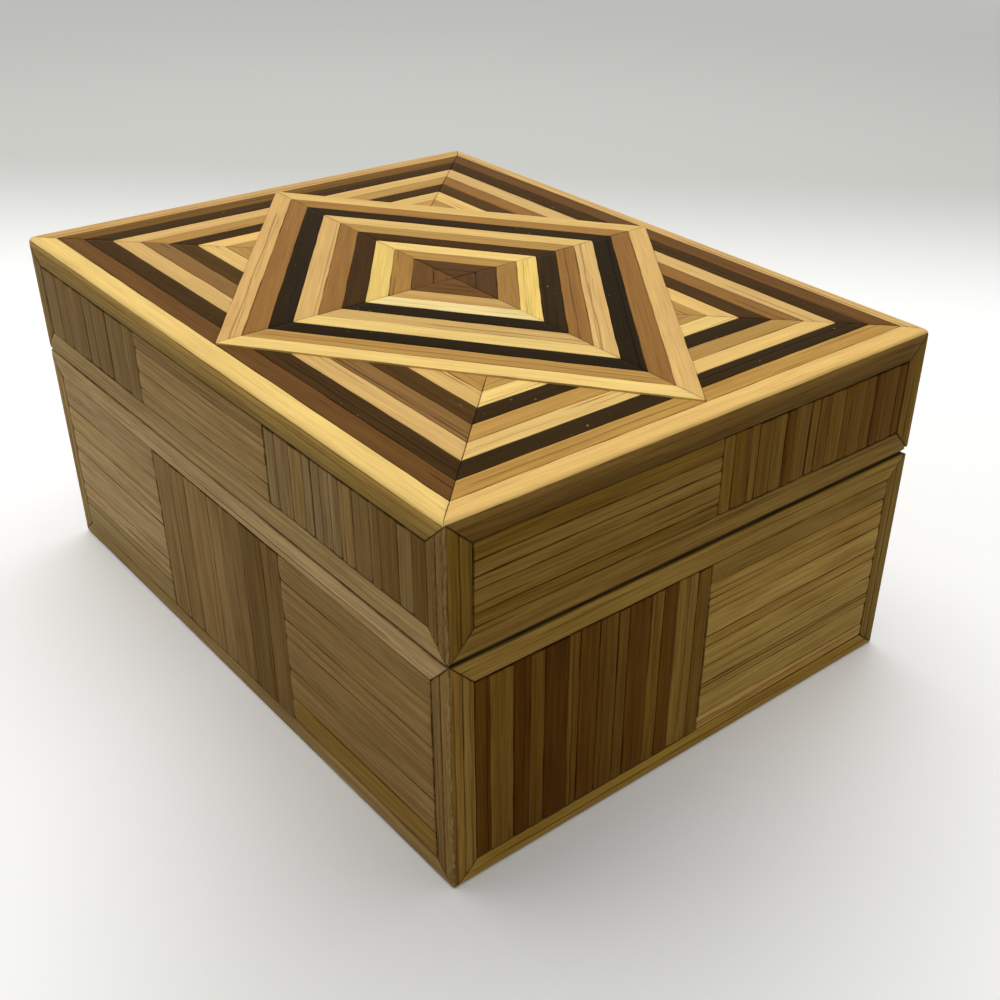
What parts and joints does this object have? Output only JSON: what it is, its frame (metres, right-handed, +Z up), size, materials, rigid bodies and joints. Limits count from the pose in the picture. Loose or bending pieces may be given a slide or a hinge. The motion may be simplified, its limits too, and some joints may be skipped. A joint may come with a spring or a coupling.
{
  "type": "inlaid trinket box",
  "caption": "Small wooden box with a hinged lid, covered all over with split straw strips laid as mitred rings, a raised diamond on the lid and blocks on the sides.",
  "frame": {"origin": "middle of the underside, on the surface that the box stands on", "axes": "+X along the length to the right end, -Y towards the front, +Y towards the hinges, +Z up"},
  "size_m": [0.2, 0.1524, 0.0984],
  "materials": {
    "side_straw": "satin lacquered straw",
    "light_straw": "satin lacquered straw",
    "tan_straw": "satin lacquered straw",
    "brown_straw": "satin dyed straw",
    "dark_straw": "satin dyed straw",
    "carcase_wood": "sanded bare wood",
    "panel_wood": "sanded bare wood",
    "brass": "brushed"
  },
  "bodies": {
    "base": {"base_front_wall": "carcase_wood", "base_back_wall": "carcase_wood", "base_left_wall": "carcase_wood", "base_right_wall": "carcase_wood", "base_bottom_panel": "panel_wood", "base_border_straws": "side_straw", "base_front_left_block": "side_straw", "base_front_middle_block": "side_straw", "base_front_right_block": "side_straw", "base_right_front_block": "side_straw", "base_right_back_block": "side_straw", "base_back_right_block": "side_straw", "base_back_middle_block": "side_straw", "base_back_left_block": "side_straw", "base_left_back_block": "side_straw", "base_left_front_block": "side_straw", "left_hinge_lower_leaf": "brass", "left_hinge_pin": "brass", "right_hinge_lower_leaf": "brass", "right_hinge_pin": "brass", "base_hinge_screws": "brass"},
    "lid": {"lid_front_wall": "carcase_wood", "lid_back_wall": "carcase_wood", "lid_left_wall": "carcase_wood", "lid_right_wall": "carcase_wood", "lid_top_panel": "panel_wood", "lid_border_straws": "side_straw", "lid_front_left_block": "side_straw", "lid_front_middle_block": "side_straw", "lid_front_right_block": "side_straw", "lid_right_front_block": "side_straw", "lid_right_back_block": "side_straw", "lid_back_right_block": "side_straw", "lid_back_middle_block": "side_straw", "lid_back_left_block": "side_straw", "lid_left_back_block": "side_straw", "lid_left_front_block": "side_straw", "top_border": "light_straw", "field_brown_ring": "brown_straw", "field_dark_ring": "dark_straw", "field_light_ring": "light_straw", "field_tan_ring": "tan_straw", "field_inner_dark_ring": "dark_straw", "field_inner_light_ring": "light_straw", "field_corner_pieces": "tan_straw", "diamond_light_ring": "light_straw", "diamond_tan_ring": "tan_straw", "diamond_dark_ring": "dark_straw", "diamond_second_light_ring": "light_straw", "diamond_second_tan_ring": "tan_straw", "diamond_second_dark_ring": "dark_straw", "diamond_yellow_ring": "light_straw", "diamond_inner_tan_ring": "tan_straw", "diamond_centre": "brown_straw", "left_hinge_upper_leaf": "brass", "right_hinge_upper_leaf": "brass", "lid_hinge_screws": "brass"}
  },
  "joints": [
    {"name": "lid_hinge", "type": "hinge", "parent": "base", "child": "lid", "pos_m": [0, 0.0749, 0.0638], "axis": [-1, 0, 0], "range_deg": [0, 100]}
  ]
}
